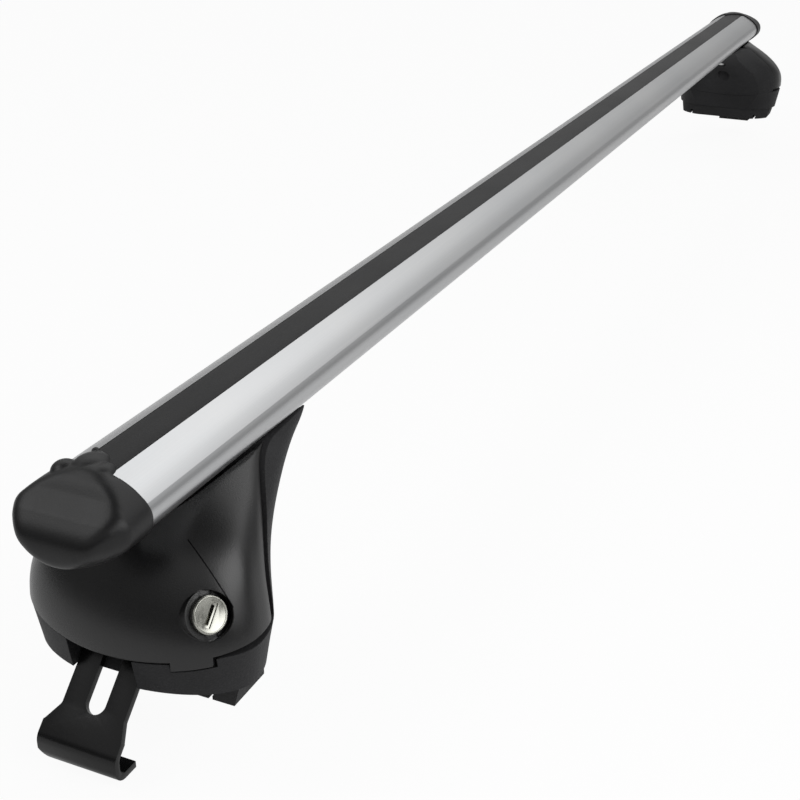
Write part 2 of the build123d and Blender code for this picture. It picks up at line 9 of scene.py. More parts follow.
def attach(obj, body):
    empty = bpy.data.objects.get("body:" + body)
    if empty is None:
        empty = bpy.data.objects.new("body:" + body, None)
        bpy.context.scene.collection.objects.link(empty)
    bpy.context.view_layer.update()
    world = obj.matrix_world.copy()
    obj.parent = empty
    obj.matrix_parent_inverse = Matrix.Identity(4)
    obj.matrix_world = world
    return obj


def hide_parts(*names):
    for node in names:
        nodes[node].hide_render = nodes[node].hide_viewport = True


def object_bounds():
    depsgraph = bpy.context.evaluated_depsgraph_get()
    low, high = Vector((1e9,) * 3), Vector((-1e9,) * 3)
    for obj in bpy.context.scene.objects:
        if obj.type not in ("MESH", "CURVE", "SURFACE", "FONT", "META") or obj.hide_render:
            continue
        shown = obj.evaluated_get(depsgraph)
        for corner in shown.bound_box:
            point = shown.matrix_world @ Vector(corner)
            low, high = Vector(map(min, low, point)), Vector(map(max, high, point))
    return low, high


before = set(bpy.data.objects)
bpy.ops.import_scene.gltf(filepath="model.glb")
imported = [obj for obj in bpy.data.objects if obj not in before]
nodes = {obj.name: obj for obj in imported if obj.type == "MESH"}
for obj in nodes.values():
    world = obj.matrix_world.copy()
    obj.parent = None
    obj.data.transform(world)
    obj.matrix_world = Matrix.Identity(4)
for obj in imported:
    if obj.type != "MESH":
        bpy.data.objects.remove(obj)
cad_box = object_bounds()

# Studio: a wide white floor just under the hook, as for a catalogue. A bright wall of light
# stands beyond the far end, dim at the horizon, and the air is dark overhead and behind the
# camera, which stands off the near end and looks down along the bar.
scene = bpy.context.scene
scene.view_settings.view_transform = "Standard"


def facing(place, target):
    """Stands a camera or a lamp at a place, turned to a target."""
    view = Vector(target) - Vector(place)
    return Matrix.LocRotScale(Vector(place), view.to_track_quat("-Z", "Y"), None)


camera_data = bpy.data.cameras.new("catalogue_camera")
camera_data.sensor_width = 36.0
camera_data.lens = 60.55
camera_data.clip_start = 0.01
camera = bpy.data.objects.new("catalogue_camera", camera_data)
scene.collection.objects.link(camera)
camera.matrix_world = facing((-0.9777, -0.3067, 0.2499), (-0.1543, 0.0703, -0.1743))
scene.camera = camera


def soft_panel(name, place, target, width, length, power):
    """A rectangular diffused lamp, turned to its target."""
    lamp = bpy.data.lights.new(name, "AREA")
    lamp.shape = "RECTANGLE"
    lamp.size = width
    lamp.size_y = length
    lamp.energy = power
    panel = bpy.data.objects.new(name, lamp)
    scene.collection.objects.link(panel)
    panel.matrix_world = facing(place, target)
    panel.visible_camera = False


soft_panel("side_panel", (-0.61, -0.89, 0.47), (-0.56, -0.05, -0.06), width=0.8, length=0.6, power=4.6)
soft_panel("cap_panel", (-0.84, 0.67, 0.93), (-0.61, 0, -0.01), width=0.36, length=0.36, power=2.4)


def feed(tree, socket, term):
    """Joins a node's socket to another node's output, or sets it to a plain value."""
    if isinstance(term, bpy.types.NodeSocket):
        tree.links.new(term, socket)
    else:
        socket.default_value = term


def reckon(tree, operation, *terms):
    """The result of a sum on plain values and other nodes' outputs."""
    node = tree.nodes.new("ShaderNodeMath")
    node.operation = operation
    for socket, term in zip(node.inputs, terms):
        feed(tree, socket, term)
    return node.outputs[0]


# The floor takes light like matt paint, but looks white to the camera and faintly so in
# the mirror of the object's glossy faces.
floor_drop = 0.002
floor_in_gloss = 0.4
floor_white = 0.94
bpy.ops.object.select_all(action="DESELECT")
bpy.ops.mesh.primitive_plane_add(size=14, location=(0, 0, cad_box[0][2] - floor_drop))
floor = bpy.context.object
floor.name = "studio_floor"
bpy.ops.object.transform_apply(location=True, rotation=True, scale=True)
floor_paint = bpy.data.materials.new("floor_paint")
floor_paint.use_nodes = True
tree = floor_paint.node_tree
tree.nodes.clear()
matt = tree.nodes.new("ShaderNodeBsdfDiffuse")
matt.inputs["Color"].default_value = (0.86, 0.86, 0.86, 1)
white = tree.nodes.new("ShaderNodeEmission")
white.inputs["Color"].default_value = (1, 1, 1, 1)
ray = tree.nodes.new("ShaderNodeLightPath")
faint = reckon(tree, "MULTIPLY", ray.outputs["Is Glossy Ray"], floor_in_gloss)
seen = reckon(tree, "MAXIMUM", ray.outputs["Is Camera Ray"], faint)
mirrored = reckon(tree, "MAXIMUM", seen, ray.outputs["Is Transmission Ray"])
blend = tree.nodes.new("ShaderNodeMixShader")
feed(tree, blend.inputs["Fac"], reckon(tree, "MULTIPLY", mirrored, floor_white))
feed(tree, blend.inputs[1], matt.outputs[0])
feed(tree, blend.inputs[2], white.outputs[0])
output = tree.nodes.new("ShaderNodeOutputMaterial")
feed(tree, output.inputs["Surface"], blend.outputs[0])
floor.data.materials.append(floor_paint)


def ranged(tree, mask, low, high, start=0.0, end=1.0, smooth=False):
    """A value that runs from low to high as a mask goes from its start to its end."""
    node = tree.nodes.new("ShaderNodeMapRange")
    node.interpolation_type = "SMOOTHSTEP" if smooth else "LINEAR"
    for name, term in (("From Min", start), ("From Max", end), ("To Min", low), ("To Max", high)):
        feed(tree, node.inputs[name], term)
    feed(tree, node.inputs["Value"], mask)
    return node.outputs["Result"]


# The air's tones by height, from the horizon to overhead, and its strength, which rises from
# the near end to the far one. The camera itself sees white paper behind the object.
air_tones = {
    0.0: 0.20,
    0.10: 0.20,
    0.24: 0.21,
    0.36: 0.28,
    0.50: 0.52,
    0.66: 1.0,
    0.75: 0.95,
    0.86: 0.28,
    0.93: 0.13,
    1.0: 0.14,
}
near_strength, far_strength = 0.7, 2.0
rise_start, rise_end = 0.25, 0.65
world = bpy.data.worlds.new("studio_air")
scene.world = world
world.use_nodes = True
tree = world.node_tree
tree.nodes.clear()
where = tree.nodes.new("ShaderNodeTexCoord")
split = tree.nodes.new("ShaderNodeSeparateXYZ")
feed(tree, split.inputs[0], where.outputs["Generated"])
by_height = tree.nodes.new("ShaderNodeValToRGB")
feed(tree, by_height.inputs["Fac"], split.outputs["Z"])
for height in list(air_tones)[1:-1]:
    by_height.color_ramp.elements.new(height)
for stop, tone in zip(by_height.color_ramp.elements, air_tones.values()):
    stop.color = (tone, tone, tone, 1)
air = tree.nodes.new("ShaderNodeBackground")
feed(tree, air.inputs["Color"], by_height.outputs["Color"])
rise = ranged(tree, split.outputs["X"], near_strength, far_strength, rise_start, rise_end, smooth=True)
feed(tree, air.inputs["Strength"], rise)
paper = tree.nodes.new("ShaderNodeBackground")
paper.inputs["Color"].default_value = (1, 1, 1, 1)
ray = tree.nodes.new("ShaderNodeLightPath")
backdrop = tree.nodes.new("ShaderNodeMixShader")
feed(tree, backdrop.inputs["Fac"], ray.outputs["Is Camera Ray"])
feed(tree, backdrop.inputs[1], air.outputs[0])
feed(tree, backdrop.inputs[2], paper.outputs[0])
output = tree.nodes.new("ShaderNodeOutputWorld")
feed(tree, output.inputs["Surface"], backdrop.outputs[0])


# Bar: an extruded aluminium section, drawn straight through the die and anodised satin
# silver. Faint die lines run along it, and the handled stretches are a little duller.
def new_finish(name, colour, roughness, metallic=0.0, gloss=0.5):
    """A material of one colour; gives it, its node tree and its shader."""
    material = bpy.data.materials.new(name)
    material.use_nodes = True
    tree = material.node_tree
    shader = tree.nodes["Principled BSDF"]
    shader.inputs["Base Color"].default_value = (*colour, 1)
    shader.inputs["Roughness"].default_value = roughness
    shader.inputs["Metallic"].default_value = metallic
    shader.inputs["Specular IOR Level"].default_value = gloss
    return material, tree, shader


def on_piece(tree):
    """A point's place, in the frame's metres."""
    return tree.nodes.new("ShaderNodeTexCoord").outputs["Object"]


def noise(tree, place, scale, detail):
    """A cloudy mask over a place."""
    node = tree.nodes.new("ShaderNodeTexNoise")
    feed(tree, node.inputs["Vector"], place)
    feed(tree, node.inputs["Scale"], scale)
    feed(tree, node.inputs["Detail"], detail)
    return node.outputs["Fac"]


def two_tones(tree, mask, dark, light, start=0.0, end=1.0):
    """A colour that runs from dark to light as a mask goes from its start to its end."""
    node = tree.nodes.new("ShaderNodeValToRGB")
    for stop, place, tone in zip(node.color_ramp.elements, (start, end), (dark, light)):
        stop.position = place
        stop.color = (*tone, 1)
    feed(tree, node.inputs["Fac"], mask)
    return node.outputs["Color"]


def relief(tree, height, strength, depth):
    """A bump node, for a surface that a mask raises."""
    node = tree.nodes.new("ShaderNodeBump")
    feed(tree, node.inputs["Strength"], strength)
    feed(tree, node.inputs["Distance"], depth)
    feed(tree, node.inputs["Height"], height)
    return node


def dress(material, *names):
    """Gives CAD nodes a material in place of their own."""
    for name in names:
        nodes[name].data.materials.clear()
        nodes[name].data.materials.append(material)


anodised, tree, shader = new_finish("satin_anodised", (0.49, 0.50, 0.51), 0.30, metallic=1.0)
drawn = tree.nodes.new("ShaderNodeMapping")
drawn.inputs["Scale"].default_value = (6, 2600, 2600)
feed(tree, drawn.inputs["Vector"], on_piece(tree))
die_lines = noise(tree, drawn.outputs["Vector"], scale=1.0, detail=4.0)
handled = noise(tree, on_piece(tree), scale=9.0, detail=3.0)
wear = reckon(tree, "MULTIPLY", reckon(tree, "ADD", die_lines, handled), 0.5)
silver = two_tones(tree, wear, (0.45, 0.46, 0.47), (0.52, 0.52, 0.52), start=0.3, end=0.7)
drawn_surface = relief(tree, die_lines, strength=0.06, depth=0.0003)
feed(tree, shader.inputs["Base Color"], silver)
feed(tree, shader.inputs["Roughness"], ranged(tree, wear, low=0.25, high=0.34))
feed(tree, shader.inputs["Normal"], drawn_surface.outputs["Normal"])
dress(anodised, "bar_extrusion")


# Top strip: black rubber pressed into the bar's upper track, so that loads don't slip.
# Extruded smooth, slightly greyed by dust and by weather.
def grain_group():
    """Fine moulded or rubbed grain: a height, and a fleck mask for tone and gloss."""
    group = bpy.data.node_groups.new("fine_grain", "ShaderNodeTree")
    face = group.interface
    face.new_socket("Vector", in_out="INPUT", socket_type="NodeSocketVector")
    face.new_socket("Size", in_out="INPUT", socket_type="NodeSocketFloat").default_value = 900.0
    face.new_socket("Patch", in_out="INPUT", socket_type="NodeSocketFloat").default_value = 18.0
    face.new_socket("Height", in_out="OUTPUT", socket_type="NodeSocketFloat")
    face.new_socket("Fleck", in_out="OUTPUT", socket_type="NodeSocketFloat")
    given = group.nodes.new("NodeGroupInput").outputs
    result = group.nodes.new("NodeGroupOutput").inputs
    cells = group.nodes.new("ShaderNodeTexVoronoi")
    feed(group, cells.inputs["Vector"], given["Vector"])
    feed(group, cells.inputs["Scale"], given["Size"])
    fuzz = noise(group, given["Vector"], given["Size"], detail=3.0)
    cloud = noise(group, given["Vector"], given["Patch"], detail=4.0)
    pebbles = reckon(group, "MULTIPLY", cells.outputs["Distance"], fuzz)
    feed(group, result["Height"], pebbles)
    feed(group, result["Fleck"], reckon(group, "MULTIPLY_ADD", pebbles, 0.45, cloud))
    return group


fine_grain = grain_group()


def grained(name, dark, light, rough, gloss, size, patch, depth, edge=0.0):
    """Moulded or rubbery finish: two tones, a roughness range, a grain, and softened edges."""
    material, tree, shader = new_finish(name, (light, light, light), rough[1], gloss=gloss)
    grain = tree.nodes.new("ShaderNodeGroup")
    grain.node_tree = fine_grain
    feed(tree, grain.inputs["Vector"], on_piece(tree))
    feed(tree, grain.inputs["Size"], size)
    feed(tree, grain.inputs["Patch"], patch)
    fleck = grain.outputs["Fleck"]
    tones = [(tone, tone, tone * 1.05) for tone in (dark, light)]
    surface = relief(tree, grain.outputs["Height"], strength=0.5, depth=depth)
    if edge:
        softened = tree.nodes.new("ShaderNodeBevel")
        softened.samples = 4
        softened.inputs["Radius"].default_value = edge
        feed(tree, surface.inputs["Normal"], softened.outputs["Normal"])
    feed(tree, shader.inputs["Base Color"], two_tones(tree, fleck, *tones, start=0.35, end=0.85))
    feed(tree, shader.inputs["Roughness"], ranged(tree, fleck, *rough, start=0.3, end=0.9))
    feed(tree, shader.inputs["Normal"], surface.outputs["Normal"])
    return material


def take_up(piece):
    """Makes a piece the active one, and the only one selected."""
    bpy.ops.object.select_all(action="DESELECT")
    piece.select_set(True)
    bpy.context.view_layer.objects.active = piece


@contextmanager
def edit_all(piece):
    """Edit mode with the whole of a piece selected, and back."""
    take_up(piece)
    bpy.ops.object.mode_set(mode="EDIT")
    bpy.ops.mesh.select_all(action="SELECT")
    yield
    bpy.ops.object.mode_set(mode="OBJECT")


def welded_copy(node, name):
    """A CAD node's mesh as a new piece, its loose triangles joined up."""
    piece = nodes[node].copy()
    piece.data = nodes[node].data.copy()
    piece.parent = None
    piece.matrix_world = Matrix.Identity(4)
    piece.name = name
    scene.collection.objects.link(piece)
    take_up(piece)
    bpy.ops.mesh.customdata_custom_splitnormals_clear()
    with edit_all(piece):
        bpy.ops.mesh.remove_doubles(threshold=0.00001)
        bpy.ops.mesh.normals_make_consistent(inside=False)
    return piece


def merge_flats(piece):
    """Makes the triangles of each flat one face, so that only real edges are left to round."""
    with edit_all(piece):
        bpy.ops.mesh.dissolve_limited(angle_limit=math.radians(1.0))


def round_edges(piece, width, segments, sharp, smooth):
    """Rounds edges that turn by more than the sharp angle, and shades up to the smooth one."""
    take_up(piece)
    rounded = piece.modifiers.new("rounded", "BEVEL")
    rounded.width = width
    rounded.segments = segments
    rounded.limit_method = "ANGLE"
    rounded.angle_limit = math.radians(sharp)
    bpy.ops.object.modifier_apply(modifier="rounded")
    bpy.ops.object.shade_smooth_by_angle(angle=math.radians(smooth))


def fit(piece, node, body, material):
    """Puts a finished piece in a node's place, in one material."""
    piece.data.materials.clear()
    piece.data.materials.append(material)
    for face in piece.data.polygons:
        face.material_index = 0
    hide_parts(node)
    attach(piece, body)


strip_half_width = 0.0088
strip_half_length = 0.5935
end_slant = 0.0058
end_gap = 0.0003
end_points_from = 0.58


def tongue_end(y):
    """Where the cap's tongue meets the strip: slantwise, sooner on the lock side."""
    return strip_half_length - end_slant * y / strip_half_width


track_rubber = grained(
    "track_rubber",
    dark=0.007,
    light=0.016,
    rough=(0.46, 0.60),
    gloss=0.28,
    size=1500,
    patch=14,
    depth=0.0002,
)
strip = welded_copy("top_strip", "rubber_strip")
for point in strip.data.vertices:
    if abs(point.co.x) > end_points_from:
        point.co.x = math.copysign(tongue_end(point.co.y) - end_gap, point.co.x)
merge_flats(strip)
round_edges(strip, width=0.0005, segments=3, sharp=50, smooth=40)
fit(strip, "top_strip", "bar", track_rubber)


# End caps: black moulded caps, soft like hard rubber, pushed into the bar's side chambers.
# At the near end the tongue that closes the track has come out lumpy, with a ragged end.
def closed_shape(name, points, faces):
    """A new object from points and faces, its faces turned outward."""
    mesh = bpy.data.meshes.new(name)
    mesh.from_pydata(points, [], faces)
    shape = bpy.data.objects.new(name, mesh)
    scene.collection.objects.link(shape)
    with edit_all(shape):
        bpy.ops.mesh.normals_make_consistent(inside=False)
    return shape


def prism(name, profile, axis, low, high):
    """A closed profile, run along one axis between two places, as a cutting tool."""
    count = len(profile)
    if axis == "X":
        points = [(x, p, q) for x in (low, high) for p, q in profile]
    elif axis == "Y":
        points = [(p, y, q) for y in (low, high) for p, q in profile]
    else:
        points = [(p, q, z) for z in (low, high) for p, q in profile]
    faces = [tuple(range(count)), tuple(range(2 * count - 1, count - 1, -1))]
    faces += [(k, k + count, (k + 1) % count + count, (k + 1) % count) for k in range(count)]
    return closed_shape(name, points, faces)


def combine(piece, tool, how):
    """Adds a tool's shape to a piece or takes it out, and puts the tool away."""
    take_up(piece)
    step = piece.modifiers.new("step", "BOOLEAN")
    step.operation = how
    step.solver = "EXACT"
    step.object = tool
    bpy.ops.object.modifier_apply(modifier="step")
    bpy.data.objects.remove(tool)


def add_lump(piece, middle, half_sizes, lean=0.0, segments=24):
    """Joins an egg-shaped lump to a piece, its middle and half sizes in mm."""
    bpy.ops.mesh.primitive_uv_sphere_add(segments=segments, ring_count=segments * 2 // 3, radius=0.001)
    lump = bpy.context.object
    lump.scale = half_sizes
    lump.rotation_euler = (0, lean, 0)
    lump.location = Vector(middle) / 1000
    bpy.ops.object.transform_apply(location=True, rotation=True, scale=True)
    piece.select_set(True)
    bpy.context.view_layer.objects.active = piece
    bpy.ops.object.join()


def reskin(piece, step, passes):
    """Makes joined shapes one skin again and smooths it."""
    take_up(piece)
    skin = piece.modifiers.new("skin", "REMESH")
    skin.mode = "VOXEL"
    skin.voxel_size = step
    bpy.ops.object.modifier_apply(modifier="skin")
    softened = piece.modifiers.new("softened", "SMOOTH")
    softened.factor = 0.5
    softened.iterations = passes
    bpy.ops.object.modifier_apply(modifier="softened")


# Lumps on the near tongue, in mm: middle, half sizes. The last four make its ragged end.
tongue_lumps = (
    ((-601.6, 12.6, -3.7), (6.2, 6.0, 4.7)),
    ((-596.6, 3.4, -1.2), (9.0, 7.4, 3.9)),
    ((-599.8, -4.6, -1.8), (6.4, 5.0, 3.4)),
    ((-588.6, 7.0, -0.3), (2.2, 1.7, 2.3)),
    ((-589.9, 4.0, -0.5), (2.0, 1.6, 2.2)),
    ((-593.0, 0.4, -0.8), (2.0, 1.8, 2.0)),
    ((-596.4, -4.2, -1.0), (2.2, 1.8, 2.0)),
)
smoothing = {"near": 100, "far": 26}
# The near cap's nose is a little fuller than the CAD one, coming in over a short stretch.
nose_swell = 0.0011
nose_from = -0.614
nose_stretch = 0.008
# The strip's end lies in a room cut out of each cap, and a shallow dome lies on its face.
room_half_width = 0.012
room_end = 0.57
room_gap = 0.0001
dome_middle = (616.0, -1.0, -12.8)
dome_half_sizes = (13.5, 19.0, 4.4)
dome_lean = math.radians(38.5)
cap_plastic = grained(
    "cap_plastic",
    dark=0.006,
    light=0.012,
    rough=(0.36, 0.46),
    gloss=0.30,
    size=1400,
    patch=22,
    depth=0.00006,
)
for side, way in (("near", -1), ("far", 1)):
    cap = welded_copy(f"{side}_end_cap", f"{side}_cap")
    room = [((tongue_end(y) - room_gap) * way, y) for y in (-room_half_width, room_half_width)]
    room += [(room_end * way, room_half_width), (room_end * way, -room_half_width)]
    combine(cap, prism("strip_room", room, "Z", low=-0.004, high=0.006), "DIFFERENCE")
    x, y, z = dome_middle
    add_lump(cap, (x * way, y, z), dome_half_sizes, lean=dome_lean * way, segments=48)
    reskin(cap, step=0.0006, passes=smoothing[side])
    if side == "near":
        normals = [point.normal.copy() for point in cap.data.vertices]
        for point, normal in zip(cap.data.vertices, normals):
            share = min(max((nose_from - point.co.x) / nose_stretch, 0), 1)
            point.co += normal * nose_swell * share
        for middle, half_sizes in tongue_lumps:
            add_lump(cap, middle, half_sizes)
        reskin(cap, step=0.0005, passes=5)
    bpy.ops.object.shade_smooth()
    fit(cap, f"{side}_end_cap", "bar", cap_plastic)

# Foot bodies: glass-filled nylon, moulded with a coarse grain, greyer than the covers.
# They carry the bar in a saddle, and only the base and a strip behind the cover show.
body_plastic = grained(
    "body_plastic",
    dark=0.015,
    light=0.036,
    rough=(0.48, 0.62),
    gloss=0.16,
    size=1100,
    patch=20,
    depth=0.0004,
    edge=0.0006,
)
dress(body_plastic, "near_foot_body", "far_foot_body")


# Track fixing: a zinc-plated plate in the bar's lower track, with two socket screws and
# washers from below. All hidden inside the foot.
def plated(name, dark, light, rough, scale, detail):
    """Plated metal, mottled between two tones and two roughnesses."""
    material, tree, shader = new_finish(name, light, rough[1], metallic=1.0)
    bloom = noise(tree, on_piece(tree), scale, detail)
    feed(tree, shader.inputs["Base Color"], two_tones(tree, bloom, dark, light))
    feed(tree, shader.inputs["Roughness"], ranged(tree, bloom, *rough))
    return material


zinc = plated(
    "zinc_plate",
    dark=(0.42, 0.43, 0.44),
    light=(0.66, 0.66, 0.64),
    rough=(0.24, 0.44),
    scale=220.0,
    detail=5.0,
)
for side in ("near", "far"):
    dress(zinc, f"{side}_track_plate", f"{side}_track_screws", f"{side}_track_washers")

# Rail pads: black moulded rubber under the bodies, matt, with keyhole grooves that let
# them give on the rail.
pad_rubber = grained(
    "pad_rubber",
    dark=0.010,
    light=0.022,
    rough=(0.62, 0.78),
    gloss=0.35,
    size=1300,
    patch=24,
    depth=0.0003,
    edge=0.0008,
)
dress(pad_rubber, "near_rail_pad", "far_rail_pad")

# Clamp hooks: pressed from 3 mm steel plate, slotted, bent twice and dipped in black.
# The coat is semi-gloss, and the rounded edges of the plate catch the light.
hook_coat = grained(
    "hook_coat",
    dark=0.004,
    light=0.006,
    rough=(0.22, 0.28),
    gloss=0.30,
    size=420,
    patch=26,
    depth=0.00007,
)
for side in ("near", "far"):
    hook = welded_copy(f"{side}_clamp_hook", f"{side}_hook")
    merge_flats(hook)
    round_edges(hook, width=0.0012, segments=3, sharp=50, smooth=40)
    fit(hook, f"{side}_clamp_hook", f"{side}_hook", hook_coat)

# Clamp bolts: zinc-plated socket bolts that draw the hooks up their ramps, each with a
# washer and with a square nut held in the body. All hidden behind the cover.
for side in ("near", "far"):
    dress(zinc, f"{side}_hook_bolt", f"{side}_hook_washer", f"{side}_hook_nut")

# Covers: thin moulded shells with a satin face, pushed over the feet from outside and held
# by the lock. Each flank rolls under into a rounded band before the body's strip behind it.
# All sizes are in mm, with heights from the bar's underside and X from the bar's end.
wall = 2.5
band_width = 12.0
band_roll = 2.0
rear_arc_middle = (105.0, -54.4)
rear_arc_radius = 62.0
flank_steps = 16
front_steps = 24
level_steps = 56
# A plan has: front, shoulder, half width on the lock side, half width on the plain side,
# rear, half width at the rear.
plan_heights = np.array([-58.0, -49.4, -31.4, -15.4, -3.4, 6.6])
plans = np.array(
    [
        [-6.0, 25.0, 58.5, 57.5, 58.0, 39.0],
        [-6.0, 25.0, 58.5, 57.5, 60.0, 40.0],
        [-1.0, 29.5, 53.5, 56.5, 69.0, 36.0],
        [8.0, 38.0, 46.5, 46.0, 92.0, 28.0],
        [17.0, 56.0, 37.0, 34.0, 117.0, 24.0],
        [27.0, 90.0, 24.5, 25.0, 135.0, 22.0],
    ]
)


def plan_at(height):
    """Plan sizes at any height: a smooth curve through the ones given."""
    steps = np.diff(plan_heights)
    slopes = np.diff(plans, axis=0) / steps[:, None]
    count = len(plan_heights)
    system = np.eye(count)
    wanted = np.zeros_like(plans)
    for k in range(1, count - 1):
        system[k, k - 1 : k + 2] = steps[k - 1], 2 * (steps[k - 1] + steps[k]), steps[k]
        wanted[k] = 6 * (slopes[k] - slopes[k - 1])
    bend = np.linalg.solve(system, wanted)
    k = min(max(np.searchsorted(plan_heights, height) - 1, 0), count - 2)
    a, b, h = plan_heights[k + 1] - height, height - plan_heights[k], steps[k]
    straight = (plans[k] * a + plans[k + 1] * b) / h
    return straight + ((a**3 / h - a * h) * bend[k] + (b**3 / h - b * h) * bend[k + 1]) / 6


def rear_edge(height):
    """How far back a cover reaches: its rear edge is an arc, seen from the side."""
    x, z = rear_arc_middle
    return x - math.sqrt(max(rear_arc_radius**2 - (height - z) ** 2, 0))


def outline(height, inset, roll):
    """One row of a cover: from the lock side's rear edge, round the front, to the plain side's."""
    front, shoulder, lock, plain, rear, rear_half = plan_at(height)
    reach = rear_edge(height) - shoulder
    sides = []
    for half, way in ((lock, -1), (plain, 1)):
        drop = half - rear_half
        radius = ((rear - shoulder) ** 2 + drop**2) / (2 * drop)
        row = []
        for k in range(flank_steps, 0, -1):
            x = shoulder + reach * k / flank_steps
            row.append((x, way * (half - radius + math.sqrt(radius**2 - (x - shoulder) ** 2))))
        for k in range(front_steps + 1):
            turn = math.pi / 2 * k / front_steps
            row.append((shoulder - (shoulder - front) * math.sin(turn), way * half * math.cos(turn)))
        row = np.array(row)
        along = np.gradient(row, axis=0)
        outward = np.stack([along[:, 1], -along[:, 0]], axis=1) * way
        outward /= np.linalg.norm(outward, axis=1)[:, None]
        from_edge = np.concatenate([[0], np.cumsum(np.linalg.norm(np.diff(row, axis=0), axis=1))])
        rolled = roll * np.clip(1 - from_edge / band_width, 0, 1) ** 2
        sides.append(row - outward * (inset + rolled)[:, None])
    return np.concatenate([sides[0], sides[1][-2::-1]])


def shell(name):
    """A cover's wall, closed along its rear, top and lower edges."""
    across, up = 2 * (flank_steps + front_steps) + 1, level_steps
    points = []
    for inset, roll in ((0, band_roll), (wall, 0)):
        for z in np.linspace(plan_heights[0], plan_heights[-1], level_steps):
            points += [(x, y, z) for x, y in outline(z, inset, roll)]
    back = across * up
    faces = []
    for j in range(up - 1):
        for i in range(across - 1):
            a = j * across + i
            faces.append((a, a + 1, a + across + 1, a + across))
            faces.append((a + back + across, a + back + across + 1, a + back + 1, a + back))
    for j in range(up - 1):
        for a in (j * across, j * across + across - 1):
            faces.append((a, a + across, a + back + across, a + back))
    for i in range(across - 1):
        for a in (i, (up - 1) * across + i):
            faces.append((a, a + 1, a + back + 1, a + back))
    return closed_shape(name, points, faces)


# The line between cover and base bows down in the middle. A catch tab hangs below it.
parting_low = -53.4
parting_bow = 7.0
parting_half_width = 58.0
tab_drop = 3.8
tab_from, tab_to = -46, -30
slit = 0.5
# Cutting tools reach well past the cover on every side.
tool_reach = (-60, 180)
tool_half_width = 64
tool_depth = -120


def below_parting(name, drop):
    """Everything under the bowed line between cover and base."""
    arc = parting_half_width**2 / (2 * parting_bow) + parting_bow / 2
    low = parting_low - drop
    across = np.linspace(-tool_half_width, tool_half_width, 65)
    profile = [(y, low + arc - math.sqrt(arc**2 - y**2)) for y in across]
    profile += [(tool_half_width, tool_depth), (-tool_half_width, tool_depth)]
    return prism(name, profile, "X", *tool_reach)


bar_half_width = 27.0
bar_half_height = 16.6
bar_nose = 8.5
bar_gap = 1.6


def bar_room(name):
    """The bar's outline, grown by the cover's gap."""
    half_width, half_height, nose = (size + bar_gap for size in (bar_half_width, bar_half_height, bar_nose))
    centre = half_width - nose
    crown = (centre**2 / (half_height - nose) + nose + half_height) / 2
    lean = math.atan2(centre, crown - half_height)
    upper = []
    for turn in np.linspace(0, lean, 24):
        upper.append((crown * math.sin(turn), half_height - crown + crown * math.cos(turn)))
    for turn in np.linspace(lean, math.pi / 2, 14)[1:]:
        upper.append((centre + nose * math.sin(turn), nose * math.cos(turn)))
    right = upper + [(y, -z) for y, z in upper[-2::-1]]
    profile = right + [(-y, z) for y, z in right[-2:0:-1]]
    return prism(name, [(y, z + bar_half_height) for y, z in profile], "X", *tool_reach)


# The lock looks outward to one side and upward.
lock_centre = Vector((11.0, -43.0, -31.4))
lock_turn = math.radians(66)
lock_tilt = math.radians(25)
lock_axis = Vector(
    (
        -math.cos(lock_turn) * math.cos(lock_tilt),
        -math.sin(lock_turn) * math.cos(lock_tilt),
        math.sin(lock_tilt),
    )
)
lock_side = Vector((math.sin(lock_turn), -math.cos(lock_turn), 0))


def lock_rod(name, radius, start, end, shift=0.0):
    """A round tool along the lock's axis."""
    bpy.ops.mesh.primitive_cylinder_add(vertices=96, radius=radius, depth=end - start)
    rod = bpy.context.object
    rod.name = name
    rod.rotation_euler = lock_axis.to_track_quat("Z", "Y").to_euler()
    rod.location = lock_centre + lock_axis * (start + end) / 2 - lock_side * shift
    bpy.ops.object.transform_apply(location=True, rotation=True, scale=True)
    return rod


def on_mesh(tree, name):
    """A value that a mesh keeps at its points."""
    node = tree.nodes.new("ShaderNodeAttribute")
    node.attribute_name = name
    return node.outputs["Fac"]


# A fine seam runs up from the lock: a point on it, its way along the cover, and the normal
# of the plane that it lies in. Its groove is sunk, and painted shade keeps it black: there the
# cover is made a metal of its own near-black colour, which mirrors almost nothing. The rolled
# band is duller than the face.
seam_start = Vector((21.8, -30.88, -9.88))
seam_way = Vector((-0.143, -0.692, -0.708))
seam_normal = Vector((-0.826, 0.478, -0.301))
seam_middle = 11.0
seam_half_length = 17.0
seam_half_width = 0.28
seam_sink = -14.0
band_dulling = 0.3
cover_plastic = grained(
    "cover_plastic",
    dark=0.003,
    light=0.008,
    rough=(0.24, 0.32),
    gloss=0.5,
    size=1800,
    patch=16,
    depth=0.0001,
    edge=0.0007,
)
tree = cover_plastic.node_tree
shader = tree.nodes["Principled BSDF"]
surface = shader.inputs["Normal"].links[0].from_node
grain_height = surface.inputs["Height"].links[0].from_socket
sheen = shader.inputs["Roughness"].links[0].from_socket
beside = reckon(tree, "COMPARE", on_mesh(tree, "seam_apart"), 0.0, seam_half_width)
within = reckon(tree, "COMPARE", on_mesh(tree, "seam_run"), seam_middle, seam_half_length)
seam_groove_and_painted_shade = reckon(tree, "MULTIPLY", beside, within)
dulled = reckon(tree, "MULTIPLY_ADD", on_mesh(tree, "rear_band"), band_dulling, sheen)
feed(tree, surface.inputs["Height"], reckon(tree, "MULTIPLY_ADD", seam_groove_and_painted_shade, seam_sink, grain_height))
# Painted shade in the seam's groove: made metal, the near-black plastic colour reads black.
feed(tree, shader.inputs["Metallic"], seam_groove_and_painted_shade)
feed(tree, shader.inputs["Roughness"], dulled)


# The far foot stands further out than the near one, and faces the other way.
bar_half_length = 600.0
far_foot_shift = 42.0


